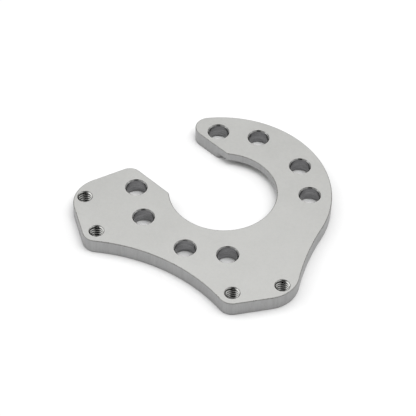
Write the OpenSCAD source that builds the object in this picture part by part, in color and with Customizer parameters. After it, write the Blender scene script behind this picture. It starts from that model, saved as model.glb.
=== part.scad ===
// Rear brake caliper bracket: a flat plate that bolts to the end flange of an
// axle housing and carries the caliper on two tapped holes.
// Millimetres. The origin is on the axle's line, in the face that lies on the
// flange. +Z runs out of the plate's other face, and -Y points at the caliper.

/* [Plate] */
// Thickness of the plate
plate_t = 10; // [8:0.5:16]
// Outer radius of the hook that runs round the axle
outer_r = 68.4; // [66:0.2:74]
// Radius of the opening that the axle passes through
opening_r = 33.9; // [30:0.1:38]
// Radius of the seat sunk round the opening, in the flange face
seat_r = 40.5; // [39:0.1:44]
// Depth of that seat
seat_depth = 4.1; // [2:0.1:6]

/* [Mouth] */
// Width of the mouth that leads into the opening
mouth_w = 51.6; // [44:0.2:56]
// Direction that the mouth opens in, in degrees from +X
mouth_angle = 165.3; // [162:0.1:169]
// Radius where the sides of the mouth run into the opening
mouth_corner_r = 3; // [1:0.5:6]
// Radius of the hook's free end
hook_tip_r = 9.2; // [7:0.1:12]
// Radius of the heel, the corner below the mouth
heel_r = 7.6; // [5:0.1:10]
// Distance from the axle's line to the middle of the heel, along the mouth
heel_reach = 49.7; // [46:0.1:54]

/* [Flange bolts] */
// Spacing of the four flange bolts across the plate
bolt_spacing_x = 60.325; // [57:0.025:64]
// Spacing of the four flange bolts down the plate
bolt_spacing_y = 90.4875; // [87:0.0125:93]
// Turn between the plate's two sets of flange bolt holes, in degrees
bolt_clocking = 28; // [25:0.5:31]
// Diameter of the flange bolt holes
bolt_hole_d = 12.8; // [11:0.1:15]
// Depth of the countersink at both ends of those holes
bolt_countersink = 0.7; // [0.3:0.1:1.5]

/* [Caliper bolts] */
// Distance between the two bolts of the caliper
caliper_spacing = 120.65; // [116:0.05:126]
// Distance from the axle's line to the line through those two bolts
caliper_drop = 61.1; // [58:0.1:64]
// Offset of the two bolts along that line, towards the outer one
caliper_offset = 0.6; // [-1:0.1:2]
// Turn of the caliper to either side of -Y, in degrees
caliper_clocking = 10; // [8:0.1:12]
// Tapping diameter of the caliper bolt holes
tap_d = 8; // [6:0.1:9]
// Depth of the countersink at both ends of those holes
tap_countersink = 0.9; // [0.5:0.1:2]

/* [Ears] */
// Plate left outside the tapped holes
ear_edge = 8.8; // [7:0.1:11]
// Plate left beside the outer tapped holes, from the hole's middle to the side
ear_side = 7; // [5:0.1:10]
// Radius at the widest place of each ear
ear_r = 21.2; // [14:0.1:26]
// Radius of the hollow between the ears
relief_r = 109.5; // [80:0.5:160]
// Radius of the hollow between the hook and the ear next to it
flank_r = 166; // [120:1:240]

/* [Hidden] */

$fn = 180;
// Cutters run this far past what they cut
over = 1;
// Arcs and sides that touch sink this far into each other, to meet in a clean edge
touch = 0.002;
far = 3 * outer_r;
axle = [0, 0];
mouth_half = mouth_w / 2;

// Vectors in the plane of the plate
function unit(a) = [cos(a), sin(a)];
function heading(v) = atan2(v.y, v.x);
function turned(v, a) = [v.x * cos(a) - v.y * sin(a), v.x * sin(a) + v.y * cos(a)];
function mirrored(v) = [-v.x, v.y];
function other_leg(long_side, leg) = sqrt(long_side * long_side - leg * leg);
function from_to(start, end, length) = start + length * unit(heading(end - start));

// The point at d1 from c1 and at d2 from c2, anticlockwise of the line c1 to c2
function apex(c1, d1, c2, d2) =
    let (gap = norm(c2 - c1))
    c1 + d1 * unit(heading(c2 - c1) + acos((d1 * d1 + gap * gap - d2 * d2) / (2 * d1 * gap)));

// A place given along the mouth, and across it towards the hook
function by_mouth(along, across) =
    along * unit(mouth_angle) + across * unit(mouth_angle - 90);

// Caliper bolts: the caliper sits turned to one side or, mirrored, to the other
function caliper_bolt(side) =
    turned([caliper_offset + side * caliper_spacing / 2, -caliper_drop], caliper_clocking);
outer_hole = caliper_bolt(1);
inner_hole = mirrored(caliper_bolt(-1));

// Middle of each arc in the outline of the right-hand side, which the left mirrors
ear_normal = unit(heading(outer_hole - inner_hole) - 90);
ear_x = outer_hole.x + ear_side - ear_r;
ear_mid = [
    ear_x,
    (outer_hole * ear_normal + ear_edge - ear_r - ear_x * ear_normal.x) / ear_normal.y
];
relief_mid = [0, inner_hole.y - other_leg(relief_r + ear_edge, inner_hole.x)];
flank_mid = apex(axle, outer_r + flank_r, ear_mid, ear_r + flank_r);

// Middle of the arcs on both sides of the mouth
heel_mid = by_mouth(heel_reach, -mouth_half - heel_r);
tip_along = other_leg(outer_r - hook_tip_r, mouth_half + hook_tip_r);
tip_mid = by_mouth(tip_along, mouth_half + hook_tip_r);
corner_along = other_leg(opening_r + mouth_corner_r, mouth_half + mouth_corner_r);

// Round and straight-sided pieces of the plate. As a cutter, each runs past both faces
module disc(middle, r, past = 0) {
    translate([middle.x, middle.y, -past])
        cylinder(r = r, h = plate_t + 2 * past);
}

module slab(points, past = 0) {
    translate([0, 0, -past])
        linear_extrude(height = plate_t + 2 * past)
            polygon(points);
}

// Two discs and the plate between the lines that touch both
module strap(c1, r1, c2, r2) {
    lean = acos((r1 - r2) / norm(c2 - c1));
    n1 = unit(heading(c2 - c1) + lean);
    n2 = unit(heading(c2 - c1) - lean);
    reach1 = r1 - touch;
    reach2 = r2 - touch;
    disc(c1, r1);
    disc(c2, r2);
    slab([c1 + reach1 * n1, c2 + reach2 * n1, c2 + reach2 * n2, c1 + reach1 * n2]);
}

// Ring round the axle, from the flank to the hook's rounded free end
module hook() {
    start = heading(flank_mid) - 30;
    end = heading(tip_mid);
    intersection() {
        disc(axle, outer_r);
        slab([
            axle,
            far * unit(start),
            far * unit((start + end) / 2),
            far * unit(end),
            tip_mid,
            by_mouth(tip_along, 0)
        ], over);
    }
    disc(tip_mid, hook_tip_r + touch);
}

// Plate below the axle, with an ear on each side and the heel under the mouth
module yoke() {
    relief_end = from_to(inner_hole, relief_mid, ear_edge + over);
    difference() {
        union() {
            slab([
                axle,
                from_to(axle, flank_mid, outer_r + over),
                from_to(ear_mid, flank_mid, ear_r + over),
                ear_mid,
                inner_hole,
                relief_end,
                mirrored(relief_end),
                mirrored(inner_hole),
                mirrored(ear_mid),
                heel_mid,
                by_mouth(heel_reach, over - mouth_half)
            ]);
            strap(ear_mid, ear_r, inner_hole, ear_edge);
            strap(mirrored(ear_mid), ear_r, mirrored(inner_hole), ear_edge);
            strap(mirrored(ear_mid), ear_r, heel_mid, heel_r);
        }
        disc(relief_mid, relief_r + touch, over);
        disc(flank_mid, flank_r + touch, over);
    }
}

// Opening for the axle, with the mouth that leads into it
module opening() {
    side_across = mouth_half + touch;
    disc(axle, opening_r, over);
    slab([
        by_mouth(0, -side_across),
        by_mouth(far, -side_across),
        by_mouth(far, side_across),
        by_mouth(0, side_across)
    ], over);
    for (side = [-1, 1]) {
        corner_mid = by_mouth(corner_along, side * (mouth_half + mouth_corner_r));
        difference() {
            slab([
                by_mouth(corner_along / 2, side * mouth_half / 2),
                by_mouth(corner_along, side * mouth_half),
                corner_mid,
                from_to(axle, corner_mid, opening_r)
            ], over);
            disc(corner_mid, mouth_corner_r + 2 * touch, 2 * over);
        }
    }
}

// Drilled through the plate, and countersunk at 45 degrees at both ends
module drilled_hole(middle, d, countersink) {
    wide = d / 2 + 2 * countersink;
    translate([middle.x, middle.y, 0]) {
        translate([0, 0, -over])
            cylinder(d = d, h = plate_t + 2 * over);
        translate([0, 0, -countersink])
            cylinder(r1 = wide, r2 = d / 2, h = 2 * countersink);
        translate([0, 0, plate_t - countersink])
            cylinder(r1 = d / 2, r2 = wide, h = 2 * countersink);
    }
}

module flange_bolt_holes() {
    for (turn = [0, -bolt_clocking], sx = [-1, 1], sy = [-1, 1]) {
        rotate([0, 0, turn])
            drilled_hole(
                [sx * bolt_spacing_x / 2, sy * bolt_spacing_y / 2],
                bolt_hole_d,
                bolt_countersink
            );
    }
}

module caliper_bracket() {
    color("silver")
        difference() {
            union() {
                hook();
                yoke();
            }
            opening();
            translate([0, 0, -over])
                cylinder(r = seat_r, h = seat_depth + over);
            flange_bolt_holes();
            for (middle = [outer_hole, inner_hole, mirrored(inner_hole), mirrored(outer_hole)])
                drilled_hole(middle, tap_d, tap_countersink);
        }
}

caliper_bracket();
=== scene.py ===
"""Rear brake caliper bracket: edges, cut threads, metal finish, camera and light.

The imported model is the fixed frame, in metres: the flange face lies in z = 0, the
axle's line is the Z axis and -Y points at the caliper. The plate is rebuilt here
from the frame's own mesh, because its four tapped holes get real screw threads.
"""

from __future__ import annotations

import logging
import math
from dataclasses import dataclass, field
from enum import IntEnum

import bmesh
import bpy
from mathutils import Matrix, Vector

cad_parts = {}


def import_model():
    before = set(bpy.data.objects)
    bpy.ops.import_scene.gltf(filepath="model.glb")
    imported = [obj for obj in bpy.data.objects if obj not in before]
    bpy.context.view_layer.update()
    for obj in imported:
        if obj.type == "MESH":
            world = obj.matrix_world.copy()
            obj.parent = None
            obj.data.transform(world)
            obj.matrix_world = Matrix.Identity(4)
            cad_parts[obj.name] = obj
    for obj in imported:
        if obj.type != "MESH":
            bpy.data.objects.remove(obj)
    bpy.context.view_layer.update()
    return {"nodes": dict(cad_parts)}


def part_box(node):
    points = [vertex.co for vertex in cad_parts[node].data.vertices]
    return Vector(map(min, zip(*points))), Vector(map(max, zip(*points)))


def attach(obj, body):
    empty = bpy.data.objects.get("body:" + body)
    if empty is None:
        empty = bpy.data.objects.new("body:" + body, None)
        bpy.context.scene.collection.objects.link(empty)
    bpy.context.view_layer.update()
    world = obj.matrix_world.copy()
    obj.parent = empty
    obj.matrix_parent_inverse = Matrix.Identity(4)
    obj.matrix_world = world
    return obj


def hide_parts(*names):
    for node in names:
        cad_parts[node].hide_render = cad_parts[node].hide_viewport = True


LOG = logging.getLogger("caliper_bracket")

MM = 0.001
IMAGE_SIDE = 416
# Way that the camera looks, in degrees anticlockwise from +Y
LOOK_AZIMUTH = 30.017
WHITE = (1.0, 1.0, 1.0, 1.0)


def linear(hex_colour: str) -> tuple[float, float, float, float]:
    """Turn an sRGB hex colour into the linear values that a shader takes.

    Args:
        hex_colour: Six hex digits, such as "c6c6c4".

    Returns:
        Red, green, blue and an alpha of one.
    """
    parts = [int(hex_colour[i : i + 2], 16) / 255 for i in (0, 2, 4)]
    low = [c / 12.92 if c <= 0.04045 else ((c + 0.055) / 1.055) ** 2.4 for c in parts]
    return (low[0], low[1], low[2], 1.0)


def add_node(
    tree: bpy.types.NodeTree,
    kind: str,
    settings: dict[str, object] | None = None,
    links: dict[str | int, object] | None = None,
) -> bpy.types.Node:
    """Add a node with its settings and links.

    Args:
        tree: The node tree that gets the node.
        kind: Blender's name for the kind of node.
        settings: Properties of the node, by name.
        links: For each input, by name or number, a socket to link or a value.

    Returns:
        The new node.
    """
    node = tree.nodes.new(kind)
    for name, value in (settings or {}).items():
        setattr(node, name, value)
    for name, value in (links or {}).items():
        if isinstance(value, bpy.types.NodeSocket):
            tree.links.new(value, node.inputs[name])
        else:
            node.inputs[name].default_value = value
    return node


def empty_material(name: str) -> tuple[bpy.types.Material, bpy.types.NodeTree]:
    """Make a material that has no nodes yet.

    Args:
        name: Name of the material.

    Returns:
        The material and its node tree.
    """
    material = bpy.data.materials.new(name)
    material.use_nodes = True
    material.node_tree.nodes.clear()
    return material, material.node_tree


def add_noise(
    tree: bpy.types.NodeTree,
    place: bpy.types.NodeSocket,
    scale: float,
    detail: float,
    roughness: float,
) -> bpy.types.NodeSocket:
    """Add a solid noise.

    Args:
        tree: The node tree of the material.
        place: Socket with the place on the piece.
        scale: Waves to a unit of that place.
        detail: How many finer layers the noise has.
        roughness: How strong the finer layers are.

    Returns:
        A socket with the noise's level.
    """
    return add_node(
        tree,
        "ShaderNodeTexNoise",
        {"noise_dimensions": "3D"},
        {"Vector": place, "Scale": scale, "Detail": detail, "Roughness": roughness},
    ).outputs["Fac"]


def flat_sheet(name: str, corners: list[Vector]) -> bpy.types.Object:
    """Put a sheet with four corners in the scene.

    Args:
        name: Name of the sheet and its mesh.
        corners: Its corners in turn, in metres.

    Returns:
        The sheet, without a material.
    """
    mesh = bpy.data.meshes.new(name)
    mesh.from_pydata(corners, [], [(0, 1, 2, 3)])
    sheet = bpy.data.objects.new(name, mesh)
    bpy.context.scene.collection.objects.link(sheet)
    return sheet


def seen_ray(tree: bpy.types.NodeTree) -> bpy.types.NodeSocket:
    """Tell rays that show the background from those that only light the plate.

    Args:
        tree: The node tree of the floor or the surround.

    Returns:
        A socket that is one for camera, mirror and glass rays, and else zero.
    """
    ray = add_node(tree, "ShaderNodeLightPath")
    seen = ray.outputs["Is Camera Ray"]
    for kind in ("Is Glossy Ray", "Is Transmission Ray"):
        seen = add_node(
            tree, "ShaderNodeMath", {"operation": "MAXIMUM"}, {0: seen, 1: ray.outputs[kind]}
        ).outputs[0]
    return seen


def turned(x: float, y: float, degrees: float) -> Vector:
    """Turn a point of the plate's plane about the axle's line.

    Args:
        x: Place along +X.
        y: Place along +Y.
        degrees: Angle, anticlockwise.

    Returns:
        The turned point, in the plane z = 0.
    """
    return Matrix.Rotation(math.radians(degrees), 3, "Z") @ Vector((x, y, 0))


class Finish(IntEnum):
    """How each surface of the plate was made, in the order of its material slots."""

    MILLED_FACE = 0
    SAWN_EDGE = 1
    DRILLED_BORE = 2
    CUT_THREAD = 3
    TAP_COUNTERSINK = 4
    BOLT_COUNTERSINK = 5
    BROKEN_EDGE = 6


@dataclass(frozen=True)
class MetalFinish:
    """Bare aluminium plate, 6061, as one kind of tool leaves it.

    The colours are a duller grey than that of polished aluminium, as on a plate with
    a satin skin, and each tool leaves its own marks. The walls, bores, threads,
    countersinks and broken edges are a darker grey than the face, as painted shade.
    Sizes are in mm.
    """

    name: str
    colour: str
    dark_colour: str
    roughness: float
    roughness_spread: float
    mark_mm: tuple[float, float, float]
    speck_mm: float
    bump_mm: float
    cloud_mm: float = 24.0
    mark_share: float = 0.6
    speck_share: float = 0.3
    cloud_share: float = 0.1
    tone_low: float = 0.32
    tone_high: float = 0.68
    mark_low: float = 0.3
    mark_high: float = 0.7
    bump_strength: float = 0.5

    def make(self) -> bpy.types.Material:
        """Build the material.

        Returns:
            The finished material.
        """
        material, tree = empty_material(self.name)
        place = add_node(tree, "ShaderNodeTexCoord").outputs["Object"]
        marks = self._marks(tree, place)
        blend = self._blend(tree, place, marks)
        bump = add_node(
            tree,
            "ShaderNodeBump",
            {},
            {"Height": blend, "Strength": self.bump_strength, "Distance": self.bump_mm * MM},
        )
        shader = add_node(
            tree,
            "ShaderNodeBsdfPrincipled",
            {},
            {
                "Base Color": self._colour(tree, blend),
                "Metallic": 1.0,
                "Roughness": self._roughness(tree, marks),
                "Normal": bump.outputs[0],
            },
        )
        add_node(tree, "ShaderNodeOutputMaterial", {}, {"Surface": shader.outputs[0]})
        return material

    def _marks(
        self, tree: bpy.types.NodeTree, place: bpy.types.NodeSocket
    ) -> bpy.types.NodeSocket:
        """Draw the tool marks, a noise drawn out along the way that the tool ran.

        Args:
            tree: The node tree of the material.
            place: Socket with the place on the piece.

        Returns:
            A socket with the level of the marks.
        """
        stretch = add_node(
            tree,
            "ShaderNodeMapping",
            {"vector_type": "POINT"},
            {"Vector": place, "Scale": [1 / (m * MM) for m in self.mark_mm]},
        )
        return add_noise(tree, stretch.outputs[0], 1.0, detail=3.0, roughness=0.6)

    def _blend(
        self,
        tree: bpy.types.NodeTree,
        place: bpy.types.NodeSocket,
        marks: bpy.types.NodeSocket,
    ) -> bpy.types.NodeSocket:
        """Add fine grain, and faint clouds from handling, to the tool marks.

        Args:
            tree: The node tree of the material.
            place: Socket with the place on the piece.
            marks: Socket with the level of the marks.

        Returns:
            A socket with the level of all three together.
        """
        specks = add_noise(tree, place, 1 / (self.speck_mm * MM), detail=2.0, roughness=0.7)
        clouds = add_noise(tree, place, 1 / (self.cloud_mm * MM), detail=2.0, roughness=0.5)
        blend: bpy.types.NodeSocket | float = 0.0
        for layer, share in (
            (marks, self.mark_share),
            (specks, self.speck_share),
            (clouds, self.cloud_share),
        ):
            blend = add_node(
                tree,
                "ShaderNodeMath",
                {"operation": "MULTIPLY_ADD"},
                {0: layer, 1: share, 2: blend},
            ).outputs[0]
        return blend

    def _colour(
        self, tree: bpy.types.NodeTree, blend: bpy.types.NodeSocket
    ) -> bpy.types.NodeSocket:
        """Run from the dark to the light colour.

        Args:
            tree: The node tree of the material.
            blend: Socket with the level of marks, grain and clouds.

        Returns:
            A socket with the colour.
        """
        tone = add_node(
            tree,
            "ShaderNodeMapRange",
            {"interpolation_type": "SMOOTHSTEP"},
            {"Value": blend, "From Min": self.tone_low, "From Max": self.tone_high},
        )
        colour = add_node(
            tree,
            "ShaderNodeMix",
            {"data_type": "RGBA"},
            {0: tone.outputs[0], 6: linear(self.dark_colour), 7: linear(self.colour)},
        )
        return colour.outputs[2]

    def _roughness(
        self, tree: bpy.types.NodeTree, marks: bpy.types.NodeSocket
    ) -> bpy.types.NodeSocket:
        """Spread the roughness along the tool marks.

        Args:
            tree: The node tree of the material.
            marks: Socket with the level of the marks.

        Returns:
            A socket with the roughness.
        """
        rough = add_node(
            tree,
            "ShaderNodeMapRange",
            {},
            {
                "Value": marks,
                "From Min": self.mark_low,
                "From Max": self.mark_high,
                "To Min": self.roughness - self.roughness_spread,
                "To Max": self.roughness + self.roughness_spread,
            },
        )
        return rough.outputs[0]


# Face: fine milled and then tumbled, so it is an even pale grey. The real grain is
# finer than a pixel of the picture, so it is drawn coarser, at about a millimetre
MILLED_FACE = MetalFinish(
    name="aluminium_milled_face",
    colour="bbbbb9",
    dark_colour="b2b2b0",
    roughness=0.62,
    roughness_spread=0.04,
    mark_mm=(2.4, 2.4, 2.4),
    speck_mm=0.9,
    bump_mm=0.01,
    mark_share=0.5,
    speck_share=0.25,
    cloud_share=0.25,
)
# Outline: profile cut through the thickness, which leaves upright streaks. Its grey is darker
# than the face's as painted shade on the walls
SAWN_EDGE = MetalFinish(
    name="aluminium_profiled_edge_painted_shade",
    colour="a8a8a8",
    dark_colour="979797",
    roughness=0.48,
    roughness_spread=0.07,
    mark_mm=(1.2, 1.2, 14.0),
    speck_mm=0.8,
    bump_mm=0.05,
)
# Bolt holes: drilled, with rings round the bore. Its grey is darker than the face's as painted
# shade inside the holes
DRILLED_BORE = MetalFinish(
    name="aluminium_drilled_bore_painted_shade",
    colour="909091",
    dark_colour="6c6c6d",
    roughness=0.2,
    roughness_spread=0.06,
    mark_mm=(9.0, 9.0, 0.9),
    speck_mm=0.8,
    bump_mm=0.04,
)
# Threads: freshly tapped, the smoothest cut on the plate. Their grey is darker than the face's as
# painted shade inside the holes
CUT_THREAD = MetalFinish(
    name="aluminium_cut_thread_painted_shade",
    colour="a2a2a0",
    dark_colour="828280",
    roughness=0.16,
    roughness_spread=0.04,
    mark_mm=(3.0, 3.0, 0.5),
    speck_mm=0.6,
    bump_mm=0.01,
)
# Countersinks of the tapped holes: cut with a sharp bit, which leaves fine rings. Their grey is
# darker than the face's as painted shade at the holes' rims
TAP_COUNTERSINK = MetalFinish(
    name="aluminium_tap_countersink_painted_shade",
    colour="8e8e8c",
    dark_colour="7c7c7a",
    roughness=0.26,
    roughness_spread=0.05,
    mark_mm=(4.0, 4.0, 0.4),
    speck_mm=0.6,
    bump_mm=0.01,
)
# Countersinks of the bolt holes: cut with a worn bit. Their grey is a little darker than at the
# tapped holes and darker than the face's, as painted shade at the holes' rims
BOLT_COUNTERSINK = MetalFinish(
    name="aluminium_bolt_countersink_painted_shade",
    colour="868685",
    dark_colour="767675",
    roughness=0.21,
    roughness_spread=0.04,
    mark_mm=(4.0, 4.0, 0.4),
    speck_mm=0.6,
    bump_mm=0.01,
)
# Broken edges: rounded over by tumbling, which leaves them satin. Their darker grey is painted
# shade, a dark line drawn along every edge
BROKEN_EDGE = MetalFinish(
    name="aluminium_broken_edge_painted_shade",
    colour="8a8a88",
    dark_colour="787876",
    roughness=0.3,
    roughness_spread=0.05,
    mark_mm=(2.0, 2.0, 2.0),
    speck_mm=0.6,
    bump_mm=0.01,
)
FINISHES = {
    Finish.MILLED_FACE: MILLED_FACE,
    Finish.SAWN_EDGE: SAWN_EDGE,
    Finish.DRILLED_BORE: DRILLED_BORE,
    Finish.CUT_THREAD: CUT_THREAD,
    Finish.TAP_COUNTERSINK: TAP_COUNTERSINK,
    Finish.BOLT_COUNTERSINK: BOLT_COUNTERSINK,
    Finish.BROKEN_EDGE: BROKEN_EDGE,
}


@dataclass(frozen=True)
class TappedHole:
    """A countersunk 3/8 inch screw hole, drawn as the tool that would leave it. Sizes in mm.

    The picture's turns lie about 1.8 mm apart, so the pitch is 14 turns to the inch.
    The tool is wider than the drilled bore by the amount in over, so that no two
    surfaces coincide, and its cones run past the faces by half their depth.
    """

    pitch: float = 25.4 / 14
    major_r: float = 9.525 / 2
    bore_r: float = 8.0 / 2
    over: float = 0.03
    countersink: float = 0.9
    flank_deg: float = 30.0
    root_share: float = 1 / 8
    cone_reach: float = 1.5
    steps_round: int = 72
    flank_steps: int = 4
    overrun_turns: int = 2

    def profile(self) -> list[tuple[float, float]]:
        """Give one turn's groove in section, with both flanks cut into short steps.

        Returns:
            Pairs of height and radius, rising from the foot of the groove to its top.
        """
        low = self.pitch * self.root_share / 2
        depth = self.major_r - self.bore_r
        rise = depth * math.tan(math.radians(self.flank_deg))
        steps = range(self.flank_steps + 1)
        lower = [
            (-low - rise * (1 - k / self.flank_steps), self.bore_r + depth * k / self.flank_steps)
            for k in steps
        ]
        return lower + [(-height, radius) for height, radius in reversed(lower)]

    def mouth(self, height: float, thickness: float) -> float:
        """Give the radius that the two countersinks leave at a height.

        Args:
            height: Height above the flange face.
            thickness: Thickness of the plate.

        Returns:
            The radius of the cone there, or of the bore between the cones.
        """
        depth = max(height - (thickness - self.countersink), self.countersink - height, 0)
        return self.bore_r + min(depth, self.cone_reach * self.countersink)

    def tool(self, name: str, centre: Vector, thickness: float) -> bpy.types.Object:
        """Build the tool as a closed right-hand screw through the plate.

        Args:
            name: Name of the object.
            centre: Middle of the hole, in metres.
            thickness: Thickness of the plate, in mm.

        Returns:
            The tool, linked to the scene.
        """
        mesh = bmesh.new()
        outline = self.profile()
        shift = len(outline)
        turns = math.ceil(thickness / self.pitch) + 2 * self.overrun_turns
        rows = turns * shift
        columns: list[list[bmesh.types.BMVert]] = []
        for step in range(self.steps_round):
            angle = math.tau * step / self.steps_round
            column = []
            # The first column is a turn longer, because the last one closes on to it
            for row in range(rows + (shift if step == 0 else 0)):
                turn, corner = divmod(row, shift)
                height, radius = outline[corner]
                height += (turn - self.overrun_turns + step / self.steps_round) * self.pitch
                radius = max(radius, self.mouth(height, thickness)) + self.over
                spot = Vector((radius * math.cos(angle), radius * math.sin(angle), height))
                column.append(mesh.verts.new(centre + spot * MM))
            columns.append(column)
        for here, there in zip(columns, columns[1:] + [columns[0][shift:]]):
            for row in range(rows - 1):
                mesh.faces.new((here[row], there[row], there[row + 1], here[row + 1]))
        first = columns[0]
        foot = [c[0] for c in columns] + first[shift:0:-1]
        head = [c[rows - 1] for c in columns] + first[rows + shift - 1 : rows - 1 : -1]
        for rim in (foot, head):
            tip = mesh.verts.new(sum((v.co for v in rim), Vector()) / len(rim))
            for here, there in zip(rim, rim[1:] + rim[:1]):
                mesh.faces.new((here, there, tip))
        bmesh.ops.recalc_face_normals(mesh, faces=mesh.faces)
        data = bpy.data.meshes.new(name)
        mesh.to_mesh(data)
        mesh.free()
        tool = bpy.data.objects.new(name, data)
        bpy.context.scene.collection.objects.link(tool)
        return tool


@dataclass
class CaliperBolts:
    """The four tapped holes: the caliper's bolt pair, turned to either side. Sizes in mm."""

    spacing: float = 120.65
    drop: float = 61.1
    offset: float = 0.6
    clocking: float = 10.0
    mouth_r: float = 4.9

    def centres(self) -> list[Vector]:
        """Give the middles of the holes.

        Returns:
            Four points in metres.
        """
        found = []
        for side in (-1, 1):
            hole = turned(self.offset + side * self.spacing / 2, -self.drop, self.clocking)
            found += [hole * MM, Vector((-hole.x, hole.y, 0)) * MM]
        return found


@dataclass
class FlangeBolts:
    """The eight plain holes: the axle flange's rectangle, straight and turned. Sizes in mm."""

    across: float = 60.325
    down: float = 90.4875
    clocking: float = 28.0
    mouth_r: float = 7.1

    def centres(self) -> list[Vector]:
        """Give the middles of the holes.

        Returns:
            Eight points in metres.
        """
        return [
            turned(sx * self.across / 2, sy * self.down / 2, turn) * MM
            for turn in (0.0, -self.clocking)
            for sx in (-1, 1)
            for sy in (-1, 1)
        ]


@dataclass
class BracketPlate:
    """The whole bracket, rebuilt from the frame's plate with broken edges and threads.

    Sizes are in mm. A slant is the upright part of a face's normal: one on a level
    face, and between the two of cone_slants on a countersink.
    """

    node_name: str = "caliper_bracket"
    name: str = "bracket_plate"
    weld: float = 0.001
    flat_deg: float = 0.2
    edge_break: float = 0.5
    edge_steps: int = 2
    square_deg: float = 60.0
    crease_deg: float = 38.0
    rim_margin: float = 0.35
    level_slant: float = 0.99
    cone_slants: tuple[float, float] = (0.65, 0.76)
    tap: TappedHole = field(default_factory=TappedHole)
    tapped: CaliperBolts = field(default_factory=CaliperBolts)
    drilled: FlangeBolts = field(default_factory=FlangeBolts)

    def build(self, node: bpy.types.Object) -> bpy.types.Object:
        """Build and dress the plate.

        Args:
            node: The frame's plate, which stays as it is.

        Returns:
            The finished piece.
        """
        plate = bpy.data.objects.new(self.name, self._welded_copy(node.data))
        bpy.context.scene.collection.objects.link(plate)
        for finish in Finish:
            plate.data.materials.append(FINISHES[finish].make())
        self._break_edges(plate)
        self._cut_threads(plate)
        self._dress(plate)
        self._shade(plate)
        return plate

    def _welded_copy(self, source: bpy.types.Mesh) -> bpy.types.Mesh:
        """Copy the frame's mesh with its split corners joined and its flat faces whole.

        Args:
            source: Mesh of the frame's plate.

        Returns:
            A closed mesh of the same shape.
        """
        shape = bmesh.new()
        shape.from_mesh(source)
        bmesh.ops.remove_doubles(shape, verts=shape.verts, dist=self.weld * MM)
        bmesh.ops.dissolve_limit(
            shape,
            angle_limit=math.radians(self.flat_deg),
            verts=shape.verts,
            edges=shape.edges,
        )
        open_edges = sum(1 for e in shape.edges if not e.is_manifold)
        LOG.info("plate copied: %d faces, %d open edges", len(shape.faces), open_edges)
        copy = bpy.data.meshes.new(self.name)
        shape.to_mesh(copy)
        shape.free()
        return copy

    def _apply(self, plate: bpy.types.Object) -> None:
        """Make the result of the plate's modifiers its own mesh.

        Args:
            plate: The piece with modifiers on it.
        """
        view = bpy.context.evaluated_depsgraph_get()
        result = bpy.data.meshes.new_from_object(plate.evaluated_get(view))
        before = plate.data
        plate.modifiers.clear()
        plate.data = result
        bpy.data.meshes.remove(before)
        result.name = self.name

    def _break_edges(self, plate: bpy.types.Object) -> None:
        """Take the burr off every sharp edge, as a file or a tumbler does.

        Args:
            plate: The piece to work on.
        """
        bevel = plate.modifiers.new("square_edges", "BEVEL")
        bevel.width = self.edge_break * MM
        bevel.segments = self.edge_steps
        bevel.limit_method = "ANGLE"
        bevel.angle_limit = math.radians(self.square_deg)
        bevel.use_clamp_overlap = False
        # The bevel strips get the broken-edge finish, whose darker grey is painted shade
        bevel.material = int(Finish.BROKEN_EDGE)
        self._apply(plate)

    def _cut_threads(self, plate: bpy.types.Object) -> None:
        """Cut the screw thread in each of the four tapped holes.

        Args:
            plate: The piece to work on.
        """
        low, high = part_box(self.node_name)
        thickness = (high.z - low.z) / MM
        taps = [
            self.tap.tool(f"tap_{i}", centre, thickness)
            for i, centre in enumerate(self.tapped.centres())
        ]
        for tap in taps:
            cut = plate.modifiers.new(tap.name, "BOOLEAN")
            cut.operation = "DIFFERENCE"
            cut.solver = "EXACT"
            cut.object = tap
        self._apply(plate)
        for tap in taps:
            data = tap.data
            bpy.data.objects.remove(tap)
            bpy.data.meshes.remove(data)
        LOG.info("threads cut: %d faces", len(plate.data.polygons))

    def _finish_of(self, face: bpy.types.MeshPolygon) -> Finish:
        """Tell how a face of the plate was made.

        Args:
            face: One face of the mesh.

        Returns:
            The finish that it gets.
        """
        if abs(face.normal.z) > self.level_slant:
            return Finish.MILLED_FACE
        spot = Vector((face.center.x, face.center.y, 0))
        low, high = self.cone_slants
        countersunk = low < abs(face.normal.z) < high
        if self._beside(spot, self.tapped):
            return Finish.TAP_COUNTERSINK if countersunk else Finish.CUT_THREAD
        if self._beside(spot, self.drilled):
            return Finish.BOLT_COUNTERSINK if countersunk else Finish.DRILLED_BORE
        return Finish.SAWN_EDGE

    def _beside(self, spot: Vector, bolts: CaliperBolts | FlangeBolts) -> bool:
        """Tell whether a spot lies in one of a set of holes or at its rim.

        Args:
            spot: A point in the plane z = 0.
            bolts: The set of holes.

        Returns:
            True for a spot in or at a hole.
        """
        reach = (bolts.mouth_r + self.rim_margin) * MM
        return any((spot - centre).length < reach for centre in bolts.centres())

    def _dress(self, plate: bpy.types.Object) -> None:
        """Give each face its finish.

        Args:
            plate: The piece to work on.
        """
        for face in plate.data.polygons:
            if face.material_index != Finish.BROKEN_EDGE:
                face.material_index = int(self._finish_of(face))

    def _shade(self, plate: bpy.types.Object) -> None:
        """Shade round walls smooth and keep flat faces flat.

        Args:
            plate: The piece to work on.
        """
        plate.data.shade_smooth()
        plate.data.set_sharp_from_angle(angle=math.radians(self.crease_deg))
        weighted = plate.modifiers.new("even_shading", "WEIGHTED_NORMAL")
        weighted.mode = "FACE_AREA"
        weighted.weight = 100
        weighted.keep_sharp = True
        self._apply(plate)


@dataclass(frozen=True)
class SoftBox:
    """A square soft lamp that faces the plate. Metres, degrees and watts.

    The bearing is taken clockwise from the way that the camera looks, so that 90
    is to the right of the picture and 180 is on the camera's side.
    """

    name: str
    bearing: float
    elevation: float
    distance: float
    side: float
    watts: float
    mirrored: bool = True


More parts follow.
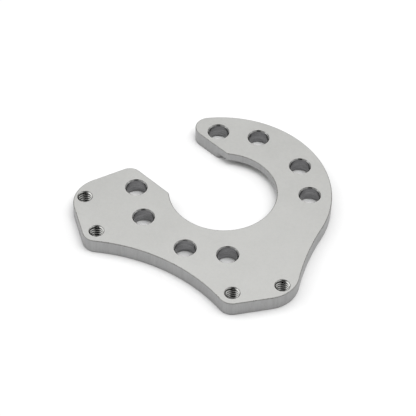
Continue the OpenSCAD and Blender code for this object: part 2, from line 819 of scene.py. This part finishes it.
def studio_place(bearing: float, elevation: float, distance: float) -> Vector:
    """Give a place in the studio, seen from the axle's line.

    Args:
        bearing: Degrees clockwise from the way that the camera looks.
        elevation: Degrees above the floor.
        distance: Metres.

    Returns:
        The place, in metres.
    """
    heading = math.radians(90 + LOOK_AZIMUTH - bearing)
    rise = math.radians(elevation)
    flat = distance * math.cos(rise)
    return Vector((flat * math.cos(heading), flat * math.sin(heading), distance * math.sin(rise)))


@dataclass(frozen=True)
class PaleStudio:
    """White floor, white surround and soft lamps. Sizes in metres, angles in degrees.

    The floor has one whiteness as it lights the plate, floor_bounce, and another in
    the picture, floor_seen. From fade_near to fade_far away from the axle's line, the
    seen floor turns to plain white.
    """

    floor_side: float = 8.0
    floor_gap: float = 0.00005
    floor_bounce: float = 0.8
    floor_seen: float = 0.87
    fade_near: float = 0.2
    fade_far: float = 0.45
    world_light: float = 0.45
    soft_boxes: tuple[SoftBox, ...] = (
        SoftBox("lamp_left", -80.0, 48.0, 1.8, 1.3, 9.0),
        SoftBox("lamp_right", 80.0, 48.0, 1.8, 1.3, 6.3),
        SoftBox("lamp_near", 0.0, 84.0, 0.5, 0.25, 0.5),
        SoftBox("lamp_high", 130.0, 72.0, 2.0, 1.2, 14.5, mirrored=False),
    )
    card_bearing: float = 179.0
    card_elevation: float = 64.0
    card_distance: float = 1.5
    card_width: float = 0.9
    card_height: float = 1.3
    card_colour: str = "202020"

    def build(self) -> None:
        """Lay the floor and set the surround, the lamps and the dark card."""
        self._floor()
        self._surround()
        for box in self.soft_boxes:
            self._lamp(box)
        self._card()

    def _floor(self) -> None:
        """Lay the floor that the plate rests on."""
        s = self.floor_side / 2
        floor = flat_sheet(
            "floor",
            [Vector((x, y, -self.floor_gap)) for x, y in ((-s, -s), (s, -s), (s, s), (-s, s))],
        )
        material, tree = empty_material("white_paper_floor")
        # Paler where it is seen, so that only deep shadow shows on it
        level = add_node(
            tree,
            "ShaderNodeMapRange",
            {},
            {
                "Value": seen_ray(tree),
                "To Min": self.floor_bounce,
                "To Max": self.floor_seen,
            },
        )
        paper = add_node(tree, "ShaderNodeBsdfDiffuse", {}, {"Color": level.outputs[0]})
        # Well away from the plate, the floor runs into the white of the surround
        place = add_node(tree, "ShaderNodeNewGeometry")
        reach = add_node(
            tree, "ShaderNodeVectorMath", {"operation": "LENGTH"}, {0: place.outputs["Position"]}
        )
        fade = add_node(
            tree,
            "ShaderNodeMapRange",
            {},
            {
                "Value": reach.outputs["Value"],
                "From Min": self.fade_near,
                "From Max": self.fade_far,
                "To Max": add_node(tree, "ShaderNodeLightPath").outputs["Is Camera Ray"],
            },
        )
        white = add_node(tree, "ShaderNodeEmission", {}, {"Color": WHITE})
        blend = add_node(
            tree,
            "ShaderNodeMixShader",
            {},
            {0: fade.outputs[0], 1: paper.outputs[0], 2: white.outputs[0]},
        )
        add_node(tree, "ShaderNodeOutputMaterial", {}, {"Surface": blend.outputs[0]})
        material.cycles.emission_sampling = "NONE"
        floor.data.materials.append(material)

    def _surround(self) -> None:
        """Set a white surround that lights the plate at a plain level."""
        world = bpy.data.worlds.new("pale_surround")
        world.use_nodes = True
        world.cycles.sampling_method = "NONE"
        bpy.context.scene.world = world
        tree = world.node_tree
        tree.nodes.clear()
        strength = add_node(
            tree,
            "ShaderNodeMapRange",
            {},
            {"Value": seen_ray(tree), "To Min": self.world_light, "To Max": 1.0},
        )
        light = add_node(
            tree, "ShaderNodeBackground", {}, {"Color": WHITE, "Strength": strength.outputs[0]}
        )
        add_node(tree, "ShaderNodeOutputWorld", {}, {"Surface": light.outputs[0]})

    @staticmethod
    def _lamp(box: SoftBox) -> None:
        """Hang one soft lamp.

        Args:
            box: The lamp's place, size and power.
        """
        data = bpy.data.lights.new(box.name, "AREA")
        data.shape = "SQUARE"
        data.size = box.side
        data.energy = box.watts
        lamp = bpy.data.objects.new(box.name, data)
        lamp.location = studio_place(box.bearing, box.elevation, box.distance)
        lamp.rotation_mode = "QUATERNION"
        lamp.rotation_quaternion = lamp.location.to_track_quat("Z", "Y")
        lamp.visible_glossy = box.mirrored
        bpy.context.scene.collection.objects.link(lamp)

    def _card(self) -> None:
        """Stand the dark card that the metal mirrors on the camera's side."""
        place = studio_place(self.card_bearing, self.card_elevation, self.card_distance)
        turn = place.to_track_quat("Z", "Y").to_matrix()
        w, h = self.card_width / 2, self.card_height / 2
        card = flat_sheet(
            "dark_card",
            [place + turn @ Vector((x, y, 0)) for x, y in ((-w, -h), (w, -h), (w, h), (-w, h))],
        )
        material, tree = empty_material("black_felt_card")
        felt = add_node(tree, "ShaderNodeBsdfDiffuse", {}, {"Color": linear(self.card_colour)})
        add_node(tree, "ShaderNodeOutputMaterial", {}, {"Surface": felt.outputs[0]})
        card.data.materials.append(material)
        card.visible_camera = False
        card.visible_diffuse = False
        card.visible_shadow = False


@dataclass(frozen=True)
class Viewpoint:
    """The photograph's viewpoint. Lengths in mm, angles in degrees."""

    place: tuple[float, float, float] = (385.505, -685.494, 795.639)
    azimuth: float = LOOK_AZIMUTH
    elevation: float = 45.533
    roll: float = 1.358
    focal_px: float = 1774.2
    sensor: float = 36.0

    def build(self) -> None:
        """Make the scene's camera."""
        data = bpy.data.cameras.new("camera")
        data.sensor_width = self.sensor
        data.lens = self.focal_px / IMAGE_SIDE * self.sensor
        data.clip_start = 0.01
        camera = bpy.data.objects.new("camera", data)
        aim = Matrix.Rotation(math.radians(self.azimuth), 4, "Z")
        tilt = Matrix.Rotation(math.radians(90 - self.elevation), 4, "X")
        roll = Matrix.Rotation(math.radians(self.roll), 4, "Z")
        camera.matrix_world = Matrix.Translation(Vector(self.place) * MM) @ aim @ tilt @ roll
        bpy.context.scene.collection.objects.link(camera)
        bpy.context.scene.camera = camera


def main() -> None:
    """Load the frame, build the plate on it, and set the scene."""
    logging.basicConfig(level=logging.INFO, format="%(name)s: %(message)s")
    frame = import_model()
    bpy.context.scene.view_settings.view_transform = "Standard"
    Viewpoint().build()
    plate = BracketPlate()
    piece = plate.build(frame["nodes"][plate.node_name])
    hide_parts(plate.node_name)
    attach(piece, "root")
    LOG.info("%s built: %d faces", piece.name, len(piece.data.polygons))
    PaleStudio().build()


if __name__ == "__main__":
    main()
